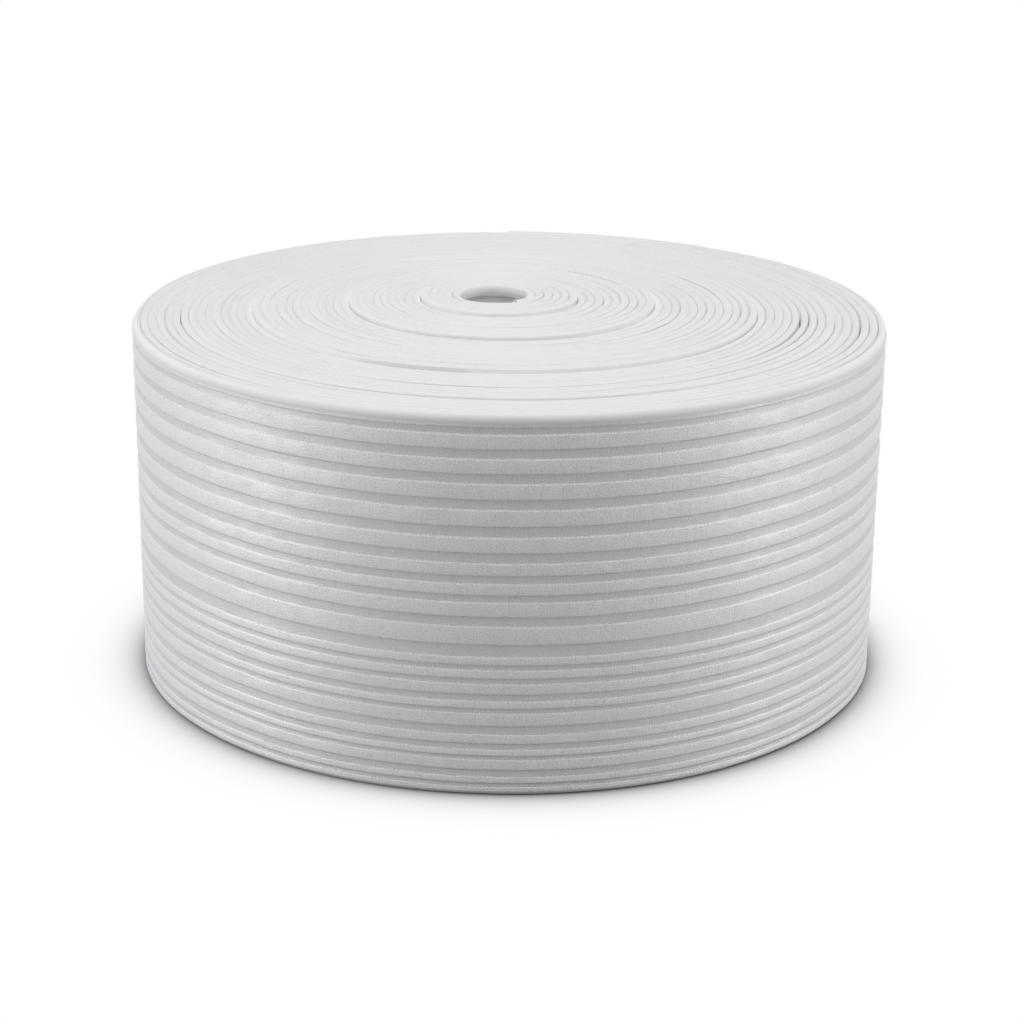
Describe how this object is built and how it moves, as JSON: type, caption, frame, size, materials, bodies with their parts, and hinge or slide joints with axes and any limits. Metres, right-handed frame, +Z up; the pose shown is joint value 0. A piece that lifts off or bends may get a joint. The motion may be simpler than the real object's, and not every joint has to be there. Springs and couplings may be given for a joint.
{
  "type": "foam wrap roll",
  "caption": "Round roll of ribbed white foam wrap standing on its end, wound on itself around an open hole, with the turns showing as a spiral.",
  "frame": {"origin": "middle of the round outline, on the surface that the roll stands on", "axes": "+Z up along the roll's axis; -Y is the front, where the inner end of the sheet shows to the right in the hole; the outer end of the sheet lies at the back, on +Y"},
  "size_m": [0.6382, 0.6417, 0.3186],
  "materials": {
    "foam": "soft white polyethylene foam, satin skin with a fine cell grain"
  },
  "bodies": {
    "root": {"foam_roll": "foam"}
  },
  "joints": []
}
